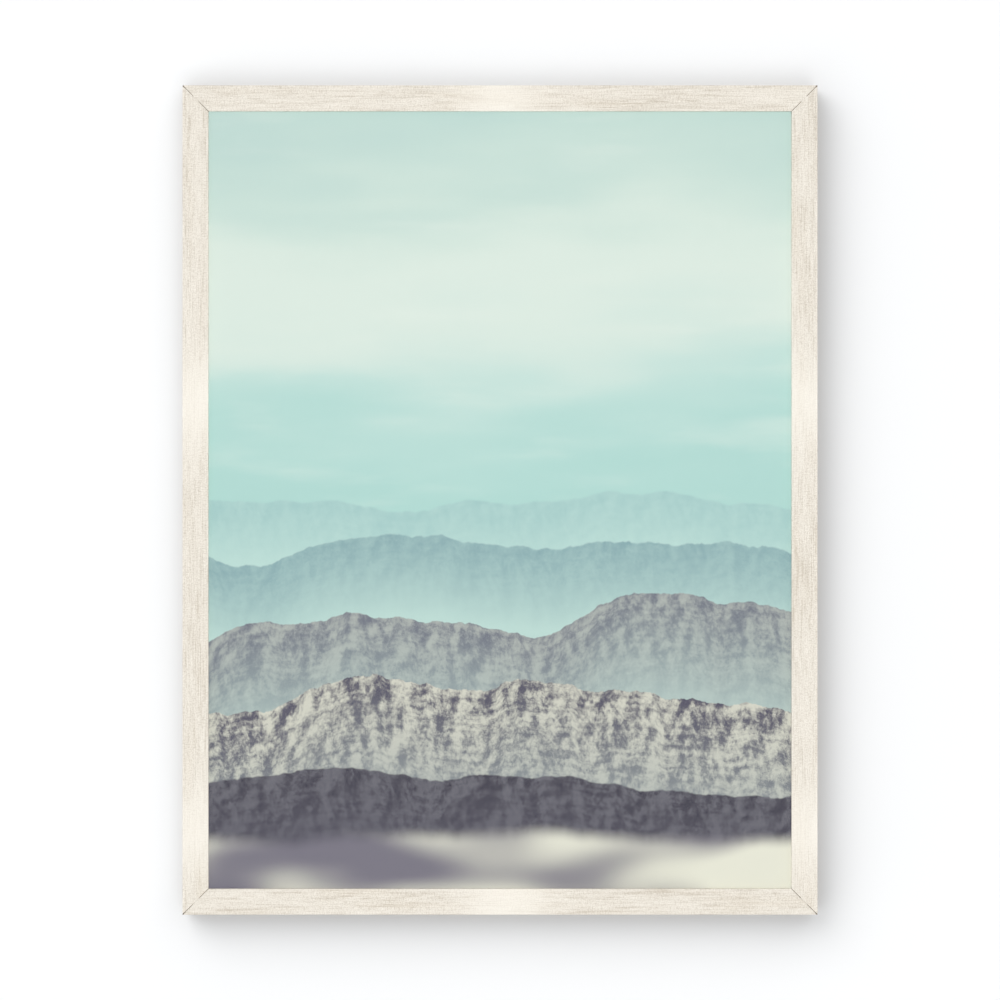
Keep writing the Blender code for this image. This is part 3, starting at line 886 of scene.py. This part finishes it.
def slot_cutter(low, high, wall):
    """What a tab takes out of the wood, with a hair's breadth round it."""
    bm = bmesh.new()
    size = Vector((high.x - low.x, TAB_STEEL, wall + CUT_PAST)) + 2 * Vector((CLEARANCE,) * 3)
    middle = Vector((0, high.y - TAB_STEEL / 2, (wall - CUT_PAST) / 2))
    place = Matrix.Translation(middle) @ Matrix.Diagonal((*size, 1))
    bmesh.ops.create_cube(bm, size=1.0, matrix=place)
    return bm


blued_steel = worn_steel(
    "blued spring steel", srgb(92, 95, 104), srgb(130, 132, 136), 0.38, fibres, (900, 900, 120)
)
TAB_TURNS = {"top": 0, "right": 90, "bottom": 180, "left": 270}
tab_low, tab_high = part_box("tab_top_1")
tab_in_wood = tab_high.z - (centre.z + half_height - rebate_wall)
slots = {side: [] for side in TAB_TURNS}
for tab_name in sorted(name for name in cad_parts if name.startswith("tab_")):
    side = tab_name.split("_")[1]
    low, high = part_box(tab_name)
    from_wall = (tab_in_wood - (tab_high.z - tab_low.z) / 2) * Vector((0, 0, 1))
    turn = Matrix.Rotation(radians(TAB_TURNS[side]), 4, "Y")
    middle = (low + high) / 2
    place = Matrix.Translation(Vector((middle.x, 0, middle.z)) - turn @ from_wall) @ turn
    bent = tab_mesh(tab_low, tab_high, tab_in_wood)
    slot = slot_cutter(tab_low, tab_high, tab_in_wood)
    for shape in (bent, slot):
        bmesh.ops.transform(shape, matrix=place, verts=shape.verts)
    slots[side].append(slot)
    tab = finish_mesh(bent, f"bent_{tab_name}", blued_steel)
    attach(tab, "root")
    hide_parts(tab_name)
for side, cutters in slots.items():
    cut(rails[f"rail_{side}"], *cutters)


# ==== The V-nails ===============================================================================
# Four chevrons of zinc plated steel, pressed into the back of the mitres until they are flush.
# They hold the glued corners together while the glue sets, and stay in.

# Corners of loose triangles that are closer than this are merged.
WELD = 1e-6

zinc_steel = worn_steel(
    "zinc plated steel", srgb(208, 210, 212), srgb(232, 232, 230), 0.4, fibres, (900, 900, 160),
    metallic=0.7,
)


def nail_pocket(nail):
    """The nail's own shape, grown by a hair's breadth and open to the back."""
    bm = bmesh.new()
    bm.from_mesh(nail.data)
    bmesh.ops.remove_doubles(bm, verts=bm.verts, dist=WELD)
    bmesh.ops.recalc_face_normals(bm, faces=bm.faces)
    bm.normal_update()
    top = max(vert.co.y for vert in bm.verts)
    grown = [vert.normal * vert.calc_shell_factor() * CLEARANCE for vert in bm.verts]
    for vert, move in zip(bm.verts, grown):
        vert.co += move + Vector((0, CUT_PAST if vert.co.y > top - NEAR else 0.0, 0))
    return bm


pockets = {side: [] for side in TAB_TURNS}
for corner in ("top_left", "top_right", "bottom_left", "bottom_right"):
    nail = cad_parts[f"v_nail_{corner}"]
    nail.data.materials[0] = zinc_steel
    for side in corner.split("_"):
        pockets[side].append(nail_pocket(nail))
for side, cutters in pockets.items():
    cut(rails[f"rail_{side}"], *cutters)


# ==== The saw-tooth hanger and its screws =======================================================
# A strip of zinc plated steel, punched with teeth along its lower edge and pressed so that its
# middle stands off the wood. Two domed cross-head screws hold it to the top rail.

STRIP_THICKNESS, STRIP_CORNER, STRIP_EDGE = 0.0009, 0.0015, 0.00012
CORNER_STEPS, END_STEPS, SHOULDER_STEPS = 10, 10, 3
TOOTH_PITCH, TOOTH_DEPTH, TEETH_EACH_SIDE = 0.003, 0.0015, 4
HOLE_RADIUS, SHANK_RADIUS, POINT_LENGTH = 0.0016, 0.0012, 0.002
HEAD_RADIUS, HEAD_HEIGHT, DOME_STEPS, TURNED_STEPS = 0.0027, 0.0012, 10, 48
CROSS_LENGTH, CROSS_WIDTH, CROSS_DEPTH = 0.0026, 0.00064, 0.0006

hanger_low, hanger_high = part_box("hanger_plate")
toothed_end = (TEETH_EACH_SIDE + 0.5) * TOOTH_PITCH


def strip_lift(x):
    """How far the strip stands off its ends at x: it is joggled beyond the last tooth."""
    stand_off = hanger_high.y - hanger_low.y - STRIP_THICKNESS
    return stand_off * (1 - smooth_step(toothed_end, toothed_end + 2 * stand_off, abs(x)))


def hanger_mesh():
    """Its lower edge is laid out from the middle to one end: the teeth, the shoulder, the corner."""
    bm = bmesh.new()
    columns = []
    half = hanger_high.x
    xs = [i * TOOTH_PITCH / 2 for i in range(2 * TEETH_EACH_SIDE + 2)]
    edge = [(x, 0.0 if i % 2 == 0 else -TOOTH_DEPTH) for i, x in enumerate(xs)]
    for i in range(1, END_STEPS + 1):
        x = toothed_end + (half - STRIP_CORNER - toothed_end) * i / END_STEPS
        drop = (-TOOTH_DEPTH - hanger_low.z) * min(1.0, i / SHOULDER_STEPS)
        edge.append((x, max(hanger_low.z, -TOOTH_DEPTH - drop)))
    edge += [
        (half - STRIP_CORNER * (1 - sin(a)), hanger_low.z + STRIP_CORNER * (1 - cos(a)))
        for a in (pi / 2 * i / CORNER_STEPS for i in range(1, CORNER_STEPS + 1))
    ]
    for x, lower in edge:
        corner = max(0.0, x - (half - STRIP_CORNER))
        upper = hanger_high.z - (STRIP_CORNER - sqrt(max(0.0, STRIP_CORNER**2 - corner**2)))
        columns.append((x, lower, upper))
    columns = [(-x, lower, upper) for x, lower, upper in columns[:0:-1]] + columns
    rows = [
        [bm.verts.new((x, hanger_low.y + strip_lift(x), z)) for z in (lower, upper)]
        for x, lower, upper in columns
    ]
    for one, other in zip(rows, rows[1:]):
        bm.faces.new((one[0], one[1], other[1], other[0]))
    thicken(bm, STRIP_THICKNESS, STRIP_EDGE)
    return bm


def round_bar(radius, low_y, high_y, at, steps=TURNED_STEPS):
    """A cylinder along Y."""
    bm = bmesh.new()
    bmesh.ops.create_cone(bm, cap_ends=True, segments=steps, radius1=radius, radius2=radius,
                          depth=high_y - low_y)
    place = Matrix.Translation((at.x, (low_y + high_y) / 2, at.z)) @ Matrix.Rotation(pi / 2, 4, "X")
    bmesh.ops.transform(bm, matrix=place, verts=bm.verts)
    return bm


def screw_mesh(at, seat_y, tip_y):
    """A domed screw: turned about Y, with its cross cut afterwards."""
    profile = [(0.0, tip_y), (SHANK_RADIUS, tip_y + POINT_LENGTH)]
    profile += [(SHANK_RADIUS, seat_y), (HEAD_RADIUS, seat_y)]
    dome = [pi / 2 * i / DOME_STEPS for i in range(1, DOME_STEPS)]
    profile += [(HEAD_RADIUS * cos(a), seat_y + HEAD_HEIGHT * sin(a)) for a in dome]
    profile.append((0.0, seat_y + HEAD_HEIGHT))
    bm = bmesh.new()
    verts = [bm.verts.new((at.x + radius, y, at.z)) for radius, y in profile]
    edges = [bm.edges.new(pair) for pair in zip(verts, verts[1:])]
    bmesh.ops.spin(bm, geom=verts + edges, cent=at, axis=(0, 1, 0), angle=2 * pi,
                   steps=TURNED_STEPS, use_merge=True)
    bmesh.ops.remove_doubles(bm, verts=bm.verts, dist=WELD)
    bmesh.ops.recalc_face_normals(bm, faces=bm.faces)
    return bm


def cross_arm(at, top_y, turn):
    """One arm of the cross in a screw's head."""
    bm = bmesh.new()
    place = Matrix.Translation((at.x, top_y, at.z)) @ Matrix.Rotation(radians(turn), 4, "Y")
    size = Matrix.Diagonal((CROSS_LENGTH, 2 * CROSS_DEPTH, CROSS_WIDTH, 1))
    bmesh.ops.create_cube(bm, size=1.0, matrix=place @ size)
    return bm


holes = []
for side, cross_turn in (("left", 14), ("right", 57)):
    low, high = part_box(f"hanger_screw_{side}")
    at = (low + high) / 2
    turned = screw_mesh(at, high.y - HEAD_HEIGHT, low.y)
    screw = finish_mesh(turned, f"domed_screw_{side}", zinc_steel)
    for turn in (cross_turn, cross_turn + 90):
        cut(screw, cross_arm(at, high.y, turn))
    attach(screw, "root")
    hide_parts(f"hanger_screw_{side}")
    holes.append(round_bar(HOLE_RADIUS, hanger_low.y - CUT_PAST, hanger_high.y + CUT_PAST, at))
    cut(rails["rail_top"], round_bar(SHANK_RADIUS + CLEARANCE, low.y - CLEARANCE, 0.0, at))

hanger = finish_mesh(hanger_mesh(), "sawtooth_hanger", zinc_steel)
cut(hanger, *holes)
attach(hanger, "root")
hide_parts("hanger_plate")


# ==== The bumpers ===============================================================================
# Two soft pads of pale grey rubber, stuck to the back of the bottom rail's ends. They rest on the
# wall and keep the picture upright and the paint unmarked.

BUMPER_ROUND, BUMPER_ROUND_STEPS, BUMPER_STEPS = 0.0007, 6, 64


def soft_rubber(fibres):
    """Matt pale rubber with a little dust on it."""
    finish, tree, shader = new_finish("soft pale rubber", 0.7)
    place = add_node(tree, "TexCoord").outputs["Object"]
    dust = add_node(tree, "Group", {"node_tree": fibres}, Place=place, Scale=1200.0).outputs
    mottle = between(tree, dust["Fibre"], 0.35, 0.65)
    shade = mix_colours(tree, mottle, srgb(196, 194, 187), srgb(206, 204, 197))
    dusty = math_node(tree, "MULTIPLY", dust["Speck"], 0.25)
    shade = mix_colours(tree, dusty, shade, srgb(168, 165, 156))
    tree.links.new(shade, shader.inputs["Base Color"])
    bump(tree, shader, dust["Fibre"], 0.00006, 0.4)
    return finish


rubber = soft_rubber(fibres)
for side in ("left", "right"):
    low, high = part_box(f"bumper_{side}")
    bm = round_bar((high.x - low.x) / 2, low.y, high.y, (low + high) / 2, BUMPER_STEPS)
    rim = [edge for edge in rim_of(bm) if all(v.co.y > high.y - NEAR for v in edge.verts)]
    soften(bm, rim, BUMPER_ROUND, BUMPER_ROUND_STEPS)
    pad = finish_mesh(bm, f"soft_bumper_{side}", rubber)
    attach(pad, "root")
    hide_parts(f"bumper_{side}")
